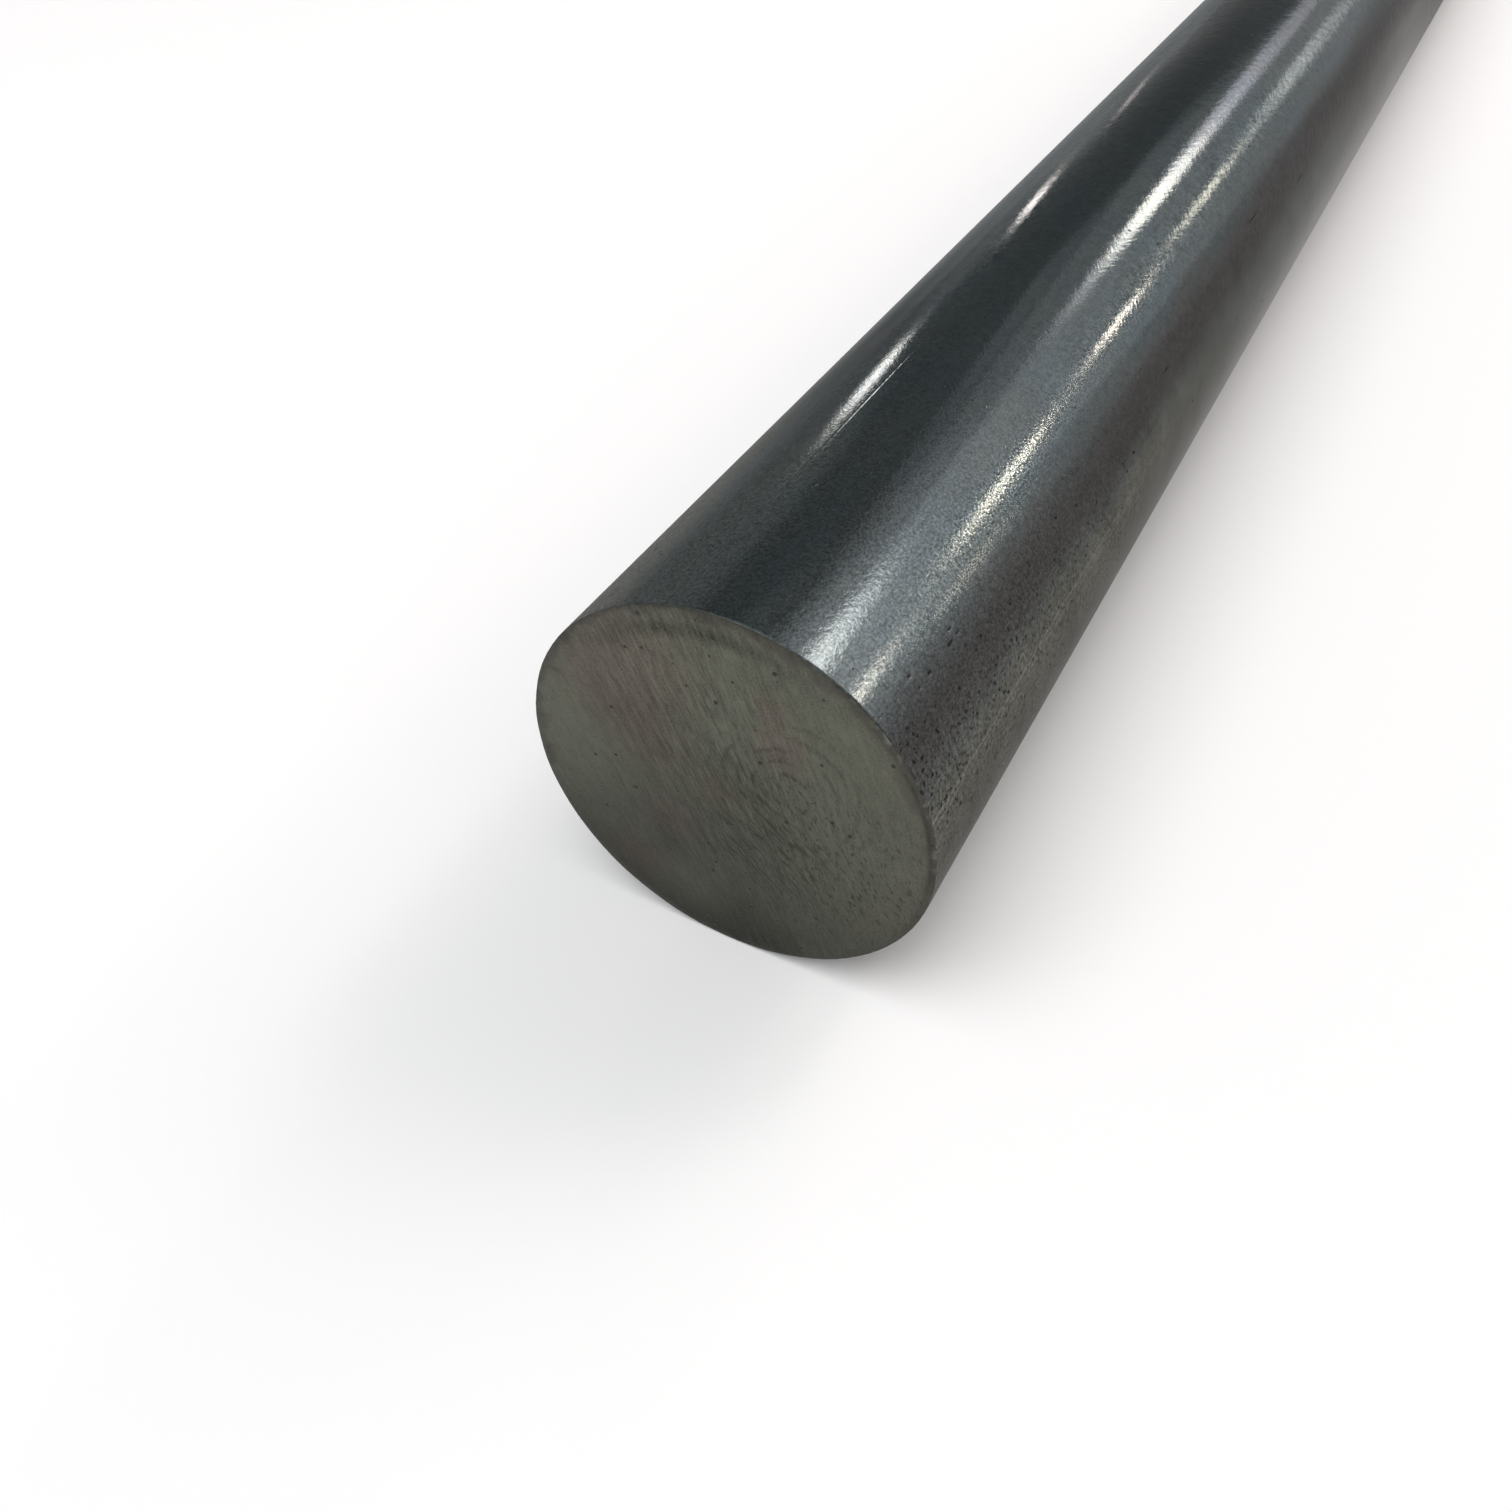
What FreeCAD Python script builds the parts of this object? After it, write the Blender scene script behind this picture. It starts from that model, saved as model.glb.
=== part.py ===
import FreeCAD, Part
import os
import Sketcher

# A round metal bar: one length of peeled round stock, sawn square across at both ends.
# All sizes are in millimetres. The bar lies along X on the plane z = 0, and the origin is
# on that plane under the middle of the bar. Each sawn face keeps only a small broken edge
# where it meets the side.

BAR_DIAMETER = 50.0
BAR_LENGTH = 500.0
EDGE_BREAK = 0.3

# What the sheet holds: the alias of each driving dimension, and its value.
DIMENSIONS = {
    "bar_diameter": BAR_DIAMETER,
    "bar_length": BAR_LENGTH,
    "edge_break": EDGE_BREAK,
}

# The sub-part's name, which names its file too.
BAR_NAME = "round_bar"


def make_sheet(document):
    """Put the driving dimensions in a sheet, one row each: its name, then its value."""
    sheet = document.addObject("Spreadsheet::Sheet", "Dimensions")
    for row, (alias, value) in enumerate(DIMENSIONS.items(), start=1):
        sheet.set(f"A{row}", alias)
        sheet.set(f"B{row}", str(value))
        sheet.setAlias(f"B{row}", alias)
    document.recompute()
    return sheet


def origin_plane(body, role):
    """The body's own origin plane with the given role."""
    for feature in body.Origin.OriginFeatures:
        if feature.Role == role:
            return feature
    raise ValueError(f"{body.Label} has no {role}")


def add_section(body):
    """Draw the bar's round section, centred on the body's axis."""
    sketch = body.newObject("Sketcher::SketchObject", "BarSection")
    sketch.AttachmentSupport = [(origin_plane(body, "YZ_Plane"), "")]
    sketch.MapMode = "FlatFace"
    circle = Part.Circle()
    circle.Radius = BAR_DIAMETER / 2
    outline = sketch.addGeometry(circle, False)
    # Point 3 of a circle is its centre, and point 1 of geometry -1 is the sketch's origin.
    sketch.addConstraint(Sketcher.Constraint("Coincident", outline, 3, -1, 1))
    diameter = sketch.addConstraint(Sketcher.Constraint("Diameter", outline, BAR_DIAMETER))
    sketch.renameConstraint(diameter, "diameter")
    sketch.setExpression("Constraints.diameter", "Dimensions.bar_diameter")
    return sketch


def add_pad(body, section):
    """Extend the section half the bar's length to each side of its plane."""
    pad = body.newObject("PartDesign::Pad", "BarLength")
    pad.Profile = section
    pad.SideType = "Symmetric"
    pad.setExpression("Length", "Dimensions.bar_length")
    return pad


def rim_names(shape):
    """Names of the round edges where the sawn faces meet the side."""
    names = []
    for number, edge in enumerate(shape.Edges, start=1):
        if isinstance(edge.Curve, Part.Circle):
            names.append(f"Edge{number}")
    return names


def add_edge_breaks(body, pad):
    """Break the sharp rim of each sawn face."""
    bevel = body.newObject("PartDesign::Chamfer", "EdgeBreaks")
    bevel.Base = (pad, rim_names(pad.Shape))
    bevel.ChamferType = "Equal distance"
    bevel.setExpression("Size", "Dimensions.edge_break")
    return bevel


def make_bar(document):
    """The bar, lifted by its radius so that it rests on the plane z = 0."""
    body = document.addObject("PartDesign::Body", "RoundBar")
    body.Label = BAR_NAME
    section = add_section(body)
    pad = add_pad(body, section)
    document.recompute()
    add_edge_breaks(body, pad)
    body.Placement = FreeCAD.Placement(FreeCAD.Vector(0, 0, BAR_DIAMETER / 2), FreeCAD.Rotation())
    body.setExpression("Placement.Base.z", "Dimensions.bar_diameter / 2")
    return body


def check_document(document, bodies):
    """Stop unless every object was computed and every sub-part is one valid solid."""
    for item in document.Objects:
        if "Invalid" in item.State or "Error" in item.State:
            raise RuntimeError(f"{item.Label} was not computed: {item.State}")
    for body in bodies:
        shape = body.Shape
        if shape.isNull() or not shape.isValid() or len(shape.Solids) != 1:
            raise RuntimeError(f"{body.Label} is not one valid solid")


def write_parts(bodies):
    """Write each sub-part to a file that carries its name."""
    os.makedirs("parts", exist_ok=True)
    for body in bodies:
        body.Shape.exportStep(f"parts/{body.Label}.step")
        box = body.Shape.BoundBox
        print(f"{body.Label}: {box.XLength:.2f} x {box.YLength:.2f} x {box.ZLength:.2f} mm,",
              f"{body.Shape.Volume / 1000:.1f} cm3")


def main():
    document = FreeCAD.newDocument("RoundMetalBar")
    make_sheet(document)
    bodies = [make_bar(document)]
    document.recompute()
    check_document(document, bodies)
    write_parts(bodies)


main()
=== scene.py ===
import math

import bmesh
import bpy
import numpy as np
from mathutils import Matrix, Vector
from mathutils.geometry import delaunay_2d_cdt


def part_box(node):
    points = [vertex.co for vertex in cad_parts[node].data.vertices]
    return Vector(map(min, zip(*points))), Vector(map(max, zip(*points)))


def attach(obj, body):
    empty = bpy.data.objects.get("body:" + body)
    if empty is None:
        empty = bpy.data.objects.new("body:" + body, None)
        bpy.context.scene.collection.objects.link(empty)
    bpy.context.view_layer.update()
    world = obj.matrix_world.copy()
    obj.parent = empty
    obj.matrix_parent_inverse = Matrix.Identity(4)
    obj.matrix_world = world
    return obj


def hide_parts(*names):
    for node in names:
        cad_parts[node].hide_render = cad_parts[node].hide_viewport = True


# A round metal bar, lying on a pale floor. Lengths in this script are in millimetres until a
# mesh, lamp or camera is placed, and are then turned into the frame's metres.

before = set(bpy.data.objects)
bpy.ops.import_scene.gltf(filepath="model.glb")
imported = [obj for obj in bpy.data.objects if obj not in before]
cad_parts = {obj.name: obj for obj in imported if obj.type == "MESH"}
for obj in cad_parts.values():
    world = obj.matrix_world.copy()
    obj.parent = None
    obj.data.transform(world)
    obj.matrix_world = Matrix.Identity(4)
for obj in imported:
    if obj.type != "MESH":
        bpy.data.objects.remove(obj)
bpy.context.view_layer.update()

MM = 0.001
NODE = "round_bar"

low_corner, high_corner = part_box(NODE)
LENGTH = (high_corner.x - low_corner.x) / MM
RADIUS = (high_corner.z - low_corner.z) / 2 / MM
NEAR_X = low_corner.x / MM
AXIS_Z = (high_corner.z + low_corner.z) / 2 / MM


# Places on the bar
#
# An angle round the bar is 0 at its top and grows towards -Y, the camera's side. A distance
# along the bar starts at the near face.

def around(angle):
    """The direction that points out of the bar at an angle."""
    return Vector((0.0, -math.sin(angle), math.cos(angle)))


def axis_point(along):
    return Vector((NEAR_X + along, 0.0, AXIS_Z))


def on_side(along, angle):
    return axis_point(along) + around(angle) * RADIUS


# Camera
#
# It stands as in the photograph. Its place is in bar radii from the middle of the near face,
# and it looks at a point on the bar's axis just inside that face.

EYE = Vector((-3.431, -2.005, 4.158))
AIM = Vector((0.290, 0.0, 0.0))
FOCAL_LENGTH = 31.2
SENSOR = 36.0
# The nearest and farthest distances that it sees, in metres.
CLIP = (0.005, 50.0)


def eye_point():
    return axis_point(0.0) + EYE * RADIUS


def make_camera():
    data = bpy.data.cameras.new("camera")
    data.lens = FOCAL_LENGTH
    data.sensor_width = SENSOR
    data.clip_start, data.clip_end = CLIP
    camera = bpy.data.objects.new("camera", data)
    bpy.context.scene.collection.objects.link(camera)
    camera.location = eye_point() * MM
    camera.rotation_mode = "QUATERNION"
    camera.rotation_quaternion = (AIM - EYE).to_track_quat("-Z", "Y")
    bpy.context.scene.camera = camera


# Relief of the side: pits, and a score that runs along the bar

SCORE_ANGLE = math.radians(72.0)
SCORE_DEPTH = 0.06
SCORE_HALF_WIDTH = 0.15
SCORE_GAP = 0.70
SCORE_LENGTH = 95.0

# Where the pits are, the mean distance of a pit from the near face, and how large they are.
PIT_COUNT = 110
PIT_BAND = (math.radians(50.0), math.radians(75.0))
PIT_FADE = 38.0
PIT_HALF_WIDTH = (0.12, 0.24)
PIT_STRETCH = (1.0, 1.9)
PIT_DEPTH = (0.02, 0.05)

# A few longer gouges lie higher up the side.
GOUGE_COUNT = 6
GOUGE_BAND = (math.radians(42.5), math.radians(46.5))
GOUGE_PLACES = (7.5, 19.0)
GOUGE_HALF_LENGTH = (0.3, 0.9)
GOUGE_HALF_WIDTH = (0.13, 0.22)
GOUGE_DEPTH = 0.06


def smoothstep(value, start, end):
    part = np.clip((value - start) / (end - start), 0.0, 1.0)
    return part * part * (3.0 - 2.0 * part)


def make_pits(rng):
    """Pits as rows: distance along, angle, half length, half width and depth."""
    pits = []
    for _ in range(PIT_COUNT):
        along = rng.exponential(PIT_FADE)
        angle = rng.uniform(*PIT_BAND)
        half_width = rng.uniform(*PIT_HALF_WIDTH)
        half_length = half_width * rng.uniform(*PIT_STRETCH)
        pits.append((along, angle, half_length, half_width, rng.uniform(*PIT_DEPTH)))
    for _ in range(GOUGE_COUNT):
        along = rng.uniform(*GOUGE_PLACES)
        angle = rng.uniform(*GOUGE_BAND)
        half_length = rng.uniform(*GOUGE_HALF_LENGTH)
        pits.append((along, angle, half_length, rng.uniform(*GOUGE_HALF_WIDTH), GOUGE_DEPTH))
    return pits


def score_relief(along, arc):
    """The score: two grooves side by side that wander a little and fade out along the bar."""
    lift = np.zeros_like(along)
    wander = 0.12 * np.sin(along / 9.0) + 0.07 * np.sin(along / 3.7 + 1.0)
    fade = 1.0 - smoothstep(along, 0.45 * SCORE_LENGTH, SCORE_LENGTH)
    for place, depth in ((0.0, SCORE_DEPTH), (SCORE_GAP, 0.6 * SCORE_DEPTH)):
        offset = (arc - SCORE_ANGLE * RADIUS - wander - place) / SCORE_HALF_WIDTH
        lift -= depth * fade * np.exp(-offset * offset)
    return lift


def side_relief(rng, along, angle):
    """How far the side stands in at each point of the grid, and how deep in a pit or score it is."""
    arc = angle * RADIUS
    lift = score_relief(along, arc)
    score = -lift / SCORE_DEPTH
    pitted = np.zeros_like(along)
    for place, turn, half_length, half_width, depth in make_pits(rng):
        rows = np.where(np.abs(along[:, 0] - place) < 3.0 * half_length)[0]
        if len(rows) == 0:
            continue
        across = (arc[rows] - turn * RADIUS) / half_width
        down = (along[rows] - place) / half_length
        bowl = np.exp(-(across * across + down * down))
        lift[rows] -= depth * bowl
        pitted[rows] = np.maximum(pitted[rows], bowl)
    return lift, pitted, score


# Relief of a sawn face

# The saw's marks lean this far from upright, towards +Y.
SAW_LEAN = math.radians(25.0)
SAW_ACROSS = around(math.pi / 2 - SAW_LEAN)
SAW_ALONG = around(-SAW_LEAN)

# Marks lie on lines that fan out slightly as they go up: the lines' pitch, the spacing of the
# mesh's points along them, and the fan's share at the rim.
LINE_PITCH = 0.28
LINE_STEP = 1.15
LINE_FAN = 0.07
MARK_DEPTH = 0.030

# The width of the bar's broken edge, at each end of its range round the rim.
BREAK_LEAST = 0.14
BREAK_MOST = 0.30
# Where the middle of the broken edge lies, as a share of its width. It is rounded, not flat.
BREAK_MIDDLE = 0.28
EDGE_WAVES = 22
# How worn the edge's inner ring is, where its two outer ones are 1.
INNER_WEAR = 0.6
# How far inside the widest broken edge the lines end, and how far off it their points stay.
LINE_MARGIN = 0.3
POINT_MARGIN = 0.15
# Points of a face that are closer than this count as one.
SAME_POINT = 1e-6


def face_relief(rng, line, along):
    """Depth below the face's highest level, for points on the saw's lines."""
    lines = np.unique(line)
    level = rng.uniform(0.0, 1.0, len(lines))
    coarse = lines[::4]
    level = 0.6 * level + 0.4 * np.interp(lines, coarse, rng.uniform(0.0, 1.0, len(coarse)))
    phase = rng.uniform(0.0, 2.0 * math.pi, len(lines))
    number = np.searchsorted(lines, line)
    sway = 0.5 + 0.5 * np.sin(along / 4.3 + phase[number])
    depth = MARK_DEPTH * level[number] * (0.55 + 0.45 * sway)
    share = line / RADIUS
    strength = 0.45 + 0.55 * np.exp(-(((share - 0.15) / 0.5) ** 2))
    return depth * strength


def line_points():
    """Points on the saw's lines, as (line, along)."""
    points = []
    reach = RADIUS - BREAK_MOST - LINE_MARGIN
    for line in np.arange(-reach, reach, LINE_PITCH):
        half = math.sqrt(max(reach * reach - line * line, 0.0))
        steps = max(int(2.0 * half / LINE_STEP), 1)
        for along in np.linspace(-half, half, steps + 1):
            points.append((line, along))
    return np.array(points)


def face_points(rng):
    """Points inside a sawn face: places across and along the saw's marks, and depths."""
    points = line_points()
    line, along = points[:, 0], points[:, 1]
    across = line * (1.0 + LINE_FAN * along / RADIUS)
    inside = np.hypot(across, along) < RADIUS - BREAK_MOST - POINT_MARGIN
    depth = face_relief(rng, line[inside], along[inside])
    return across[inside], along[inside], depth


# Mesh of the bar

# The mesh is fine in the pitted band and near the near face, and coarse elsewhere.
FINE_BAND = (math.radians(38.0), math.radians(76.0))
FINE_COLUMN = 0.24
COARSE_COLUMN = 1.75
FINE_RING = 0.27
FINE_LENGTH = 74.0
RING_GROWTH = 1.2
COARSE_RING = 6.0
# How far the first and last rings stand inside the widest broken edge.
RING_MARGIN = 0.1

# The materials' places in the mesh.
SIDE_SLOT, NEAR_SLOT, FAR_SLOT = 0, 1, 2

SEED = 11
SHARP_ANGLE = math.radians(32.0)


def column_angles():
    """Angles of the mesh's lines along the bar, closer together in the pitted band."""
    start, end = FINE_BAND
    fine = np.arange(start, end, FINE_COLUMN / RADIUS)
    rest = 2.0 * math.pi - (end - start)
    count = int(round(rest / (COARSE_COLUMN / RADIUS)))
    return np.concatenate([fine, end + np.arange(count) * rest / count])


def ring_places():
    """Distances of the mesh's rings from the near face, closer together near that face."""
    places = list(np.arange(BREAK_MOST + RING_MARGIN, FINE_LENGTH, FINE_RING))
    step = FINE_RING
    last = LENGTH - BREAK_MOST - RING_MARGIN
    while places[-1] + 2.0 * step < last:
        step = min(step * RING_GROWTH, COARSE_RING)
        places.append(places[-1] + step)
    places.append(last)
    return np.array(places)


def smooth_ring(rng, angles, waves):
    """A value from 0 to 1 that varies smoothly round the bar."""
    total = np.zeros_like(angles)
    for wave in range(2, 2 + waves):
        total += rng.uniform(-1.0, 1.0) * np.sin(wave * angles + rng.uniform(0.0, 2.0 * math.pi))
    total -= total.min()
    return total / total.max()


class BarMesh:
    """Gathers the bar's points and faces, with what its materials read at each point."""

    def __init__(self):
        self.points = []
        self.pit = []
        self.score = []
        self.edge = []
        self.faces = []
        self.slots = []

    def add_point(self, point, pit=0.0, score=0.0, edge=0.0):
        self.points.append(tuple(point * MM))
        self.pit.append(pit)
        self.score.append(score)
        self.edge.append(edge)
        return len(self.points) - 1

    def add_ring(self, along, radii, angles, edge):
        """A ring of points whose distance along the bar and radius vary round it."""
        ring = []
        for place, radius, angle in zip(along, radii, angles):
            ring.append(self.add_point(axis_point(place) + around(angle) * radius, edge=edge))
        return ring

    def add_face(self, corners, slot):
        self.faces.append(tuple(corners))
        self.slots.append(slot)

    def join(self, ring_a, ring_b, slot):
        count = len(ring_a)
        for i in range(count):
            after = (i + 1) % count
            self.add_face((ring_a[i], ring_a[after], ring_b[after], ring_b[i]), slot)


def add_side(work, rng, angles):
    rings = ring_places()
    grid_angle, grid_along = np.meshgrid(angles, rings)
    lift, pitted, score = side_relief(rng, grid_along, grid_angle)
    made = []
    for row, place in enumerate(rings):
        ring = []
        for column, angle in enumerate(angles):
            point = axis_point(place) + around(angle) * (RADIUS + lift[row, column])
            ring.append(work.add_point(point, pitted[row, column], score[row, column]))
        made.append(ring)
    for ring_a, ring_b in zip(made, made[1:]):
        work.join(ring_a, ring_b, SIDE_SLOT)
    return made[0], made[-1]


def add_broken_edge(work, rng, angles, side_ring, face_at, inward, slot):
    """The broken edge at one end. Gives the ring where the sawn face starts, and its radii."""
    width = BREAK_LEAST + (BREAK_MOST - BREAK_LEAST) * smooth_ring(rng, angles, EDGE_WAVES)
    level = np.full_like(angles, MARK_DEPTH * 0.5)
    part = BREAK_MIDDLE * width
    outer = work.add_ring(face_at + inward * (level + width), np.full_like(angles, RADIUS), angles, 1.0)
    middle = work.add_ring(face_at + inward * (level + part), RADIUS - part, angles, 1.0)
    inner = work.add_ring(face_at + inward * level, RADIUS - width, angles, INNER_WEAR)
    work.join(side_ring, outer, SIDE_SLOT)
    work.join(outer, middle, SIDE_SLOT)
    work.join(middle, inner, slot)
    return inner, RADIUS - width


def add_sawn_face(work, rng, angles, rim_ring, rim_radii, face_at, inward, slot):
    """The sawn face, as triangles between the points on the saw's lines and the rim."""
    across, along, depth = face_points(rng)
    corners = [Vector(pair) for pair in zip(across, along)]
    rim_start = len(corners)
    for radius, angle in zip(rim_radii, angles):
        spot = around(angle) * radius
        corners.append(Vector((spot.dot(SAW_ACROSS), spot.dot(SAW_ALONG))))
    count = len(angles)
    rim = [(rim_start + i, rim_start + (i + 1) % count) for i in range(count)]
    made, _, triangles, sources, _, _ = delaunay_2d_cdt(corners, rim, [], 0, SAME_POINT)
    index = []
    for spot, source in zip(made, sources):
        first = source[0]
        if first >= rim_start:
            index.append(rim_ring[first - rim_start])
        else:
            place = axis_point(face_at + inward * depth[first])
            index.append(work.add_point(place + SAW_ACROSS * spot[0] + SAW_ALONG * spot[1]))
    for triangle in triangles:
        work.add_face((index[corner] for corner in triangle), slot)


def add_end(work, rng, angles, side_ring, end, slot):
    """The broken edge and the sawn face at one end: end is 0 for the near one and 1 for the far."""
    inward = 1.0 - 2.0 * end
    face_at = end * LENGTH
    rim, radii = add_broken_edge(work, rng, angles, side_ring, face_at, inward, slot)
    add_sawn_face(work, rng, angles, rim, radii, face_at, inward, slot)


def turn_outwards(mesh):
    """Turn all faces outwards, and count the edges that don't have a face on each side."""
    shell = bmesh.new()
    shell.from_mesh(mesh)
    bmesh.ops.recalc_face_normals(shell, faces=shell.faces[:])
    open_edges = sum(1 for edge in shell.edges if len(edge.link_faces) != 2)
    shell.to_mesh(mesh)
    shell.free()
    return open_edges


def make_bar(materials):
    rng = np.random.default_rng(SEED)
    angles = column_angles()
    work = BarMesh()
    near_ring, far_ring = add_side(work, rng, angles)
    add_end(work, rng, angles, near_ring, 0, NEAR_SLOT)
    add_end(work, rng, angles, far_ring, 1, FAR_SLOT)

    mesh = bpy.data.meshes.new("bar")
    mesh.from_pydata(work.points, [], work.faces)
    for name, values in (("pit", work.pit), ("score", work.score), ("edge", work.edge)):
        layer = mesh.attributes.new(name, "FLOAT", "POINT")
        layer.data.foreach_set("value", np.array(values, dtype=np.float32))
    for polygon, slot in zip(mesh.polygons, work.slots):
        polygon.material_index = slot
        polygon.use_smooth = True
    for material in materials:
        mesh.materials.append(material)
    open_edges = turn_outwards(mesh)
    mesh.set_sharp_from_angle(angle=SHARP_ANGLE)
    triangles = sum(len(face) - 2 for face in work.faces)
    print("bar:", len(work.points), "points,", triangles, "triangles,", open_edges, "open edges")
    bar = bpy.data.objects.new("bar", mesh)
    bpy.context.scene.collection.objects.link(bar)
    return bar


# Nodes

class Nodes:
    """A tree of nodes, with short calls that add a node and give back its output."""

    def __init__(self, tree):
        self.tree = tree

    def new(self, kind):
        return self.tree.nodes.new(kind)

    def feed(self, socket, value):
        if isinstance(value, bpy.types.NodeSocket):
            self.tree.links.new(value, socket)
        else:
            socket.default_value = value

    def fill(self, node, *values, **named):
        """Set or link a node's inputs: the values in order, and the named ones by name, where an
        underscore stands for a blank."""
        for socket, value in zip(node.inputs, values):
            self.feed(socket, value)
        for name, value in named.items():
            self.feed(node.inputs[name.replace("_", " ")], value)
        return node

    def coordinate(self, name):
        return self.new("ShaderNodeTexCoord").outputs[name]

    def vector(self, operation, *values, **named):
        node = self.new("ShaderNodeVectorMath")
        node.operation = operation
        self.fill(node, *values, **named)
        return node.outputs["Value" if operation in ("DOT_PRODUCT", "LENGTH") else "Vector"]

    def math(self, operation, *values):
        node = self.new("ShaderNodeMath")
        node.operation = operation
        return self.fill(node, *values).outputs["Value"]

    def chain(self, operation, values):
        total = values[0]
        for value in values[1:]:
            total = self.math(operation, total, value)
        return total

    def add(self, *values):
        return self.chain("ADD", values)

    def times(self, *values):
        return self.chain("MULTIPLY", values)

    def most(self, *values):
        """The largest of the values."""
        return self.chain("MAXIMUM", values)

    def join(self, x, y, z=0.0):
        return self.fill(self.new("ShaderNodeCombineXYZ"), x, y, z).outputs["Vector"]

    def split(self, vector):
        parts = self.fill(self.new("ShaderNodeSeparateXYZ"), vector).outputs
        return parts["X"], parts["Y"], parts["Z"]

    def turned(self, x, y, angle):
        """The place (x, y) as measured along and across a direction that leans by an angle."""
        down = self.add(self.times(x, math.cos(angle)), self.times(y, math.sin(angle)))
        across = self.add(self.times(y, math.cos(angle)), self.times(x, -math.sin(angle)))
        return down, across

    def attribute(self, name):
        node = self.new("ShaderNodeAttribute")
        node.attribute_name = name
        return node.outputs["Fac"]

    def step(self, value, start, end, low=0.0, high=1.0):
        """Goes smoothly from low to high as the value goes from start to end."""
        node = self.new("ShaderNodeMapRange")
        node.interpolation_type = "SMOOTHSTEP"
        self.fill(node, Value=value, From_Min=start, From_Max=end, To_Min=low, To_Max=high)
        return node.outputs["Result"]

    def bell(self, value, centre, half_width):
        """1 at the centre, falling to 0 at half_width to each side."""
        distance = self.math("ABSOLUTE", self.math("SUBTRACT", value, centre))
        return self.step(distance, 0.0, half_width, 1.0, 0.0)

    def noise(self, vector, size, detail=2.0, roughness=0.5, shift=0.0):
        """Cloudy values about 0, from -1 to 1, with features about size mm across."""
        node = self.new("ShaderNodeTexNoise")
        moved = self.vector("ADD", vector, (shift, shift, shift))
        self.fill(node, Vector=moved, Scale=1.0 / size, Detail=detail, Roughness=roughness)
        return self.math("MULTIPLY_ADD", node.outputs["Fac"], 2.0, -1.0)

    def specks(self, vector, cell, radius, share, shift=0.0):
        """Round spots in some of the cells of a random net: 1 at a spot's middle."""
        node = self.new("ShaderNodeTexVoronoi")
        moved = self.vector("ADD", vector, (shift, shift, 0.0))
        self.fill(node, Vector=moved, Scale=1.0 / cell)
        picked = self.split(node.outputs["Color"])
        chosen = self.math("LESS_THAN", picked[0], share)
        size = self.math("MULTIPLY_ADD", picked[1], radius * 0.7, radius * 0.5)
        spot = self.step(self.math("DIVIDE", node.outputs["Distance"], size), 0.5, 1.0, 1.0, 0.0)
        return self.times(spot, chosen)

    def mix(self, factor, colour_a, colour_b):
        node = self.new("ShaderNodeMix")
        node.data_type = "RGBA"
        self.feed(node.inputs[0], factor)
        self.feed(node.inputs[6], colour_a)
        self.feed(node.inputs[7], colour_b)
        return node.outputs[2]

    def brighten(self, colour, amount):
        """The colour times an amount."""
        return self.vector("SCALE", colour, Scale=amount)

    def bump(self, height):
        """Relief whose height is in millimetres."""
        node = self.new("ShaderNodeBump")
        return self.fill(node, Strength=1.0, Distance=MM, Height=height).outputs["Normal"]


class Metal(Nodes):
    """A metal. Its place is in millimetres from the middle of the near face."""

    def __init__(self, name):
        self.material = bpy.data.materials.new(name)
        self.material.use_nodes = True
        super().__init__(self.material.node_tree)
        self.shader = self.tree.nodes["Principled BSDF"]
        self.fill(self.shader, Metallic=1.0)
        scaled = self.vector("SCALE", self.coordinate("Object"), Scale=1.0 / MM)
        self.place = self.vector("SUBTRACT", scaled, tuple(axis_point(0.0)))

    def finish(self, colour, roughness, height):
        self.fill(self.shader, Base_Color=colour, Roughness=roughness, Normal=self.bump(height))
        return self.material


# The peeled side

STEEL = (0.079, 0.095, 0.100, 1.0)
STEEL_WARM = (0.083, 0.096, 0.096, 1.0)
STAIN_AND_REFLECTION = (0.074, 0.072, 0.070, 1.0)
FILM_AND_REFLECTION = (0.057, 0.073, 0.078, 1.0)
DUSTY = (0.122, 0.119, 0.102, 1.0)
PIT_DARK = (0.016, 0.016, 0.016, 1.0)
BRIGHT_EDGE = (0.20, 0.20, 0.19, 1.0)
GRAZING_TINT = (0.45, 0.45, 0.45, 1.0)

# A fine groove along the bar: its angle round the bar, how far it goes to each side of that
# angle, how far along the bar it reaches, and its depth.
GROOVE_DEGREES = -12.4
GROOVE_HALF_DEGREES = 0.5
GROOVE_LENGTH = 90.0
GROOVE_DEPTH = 0.012


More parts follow.
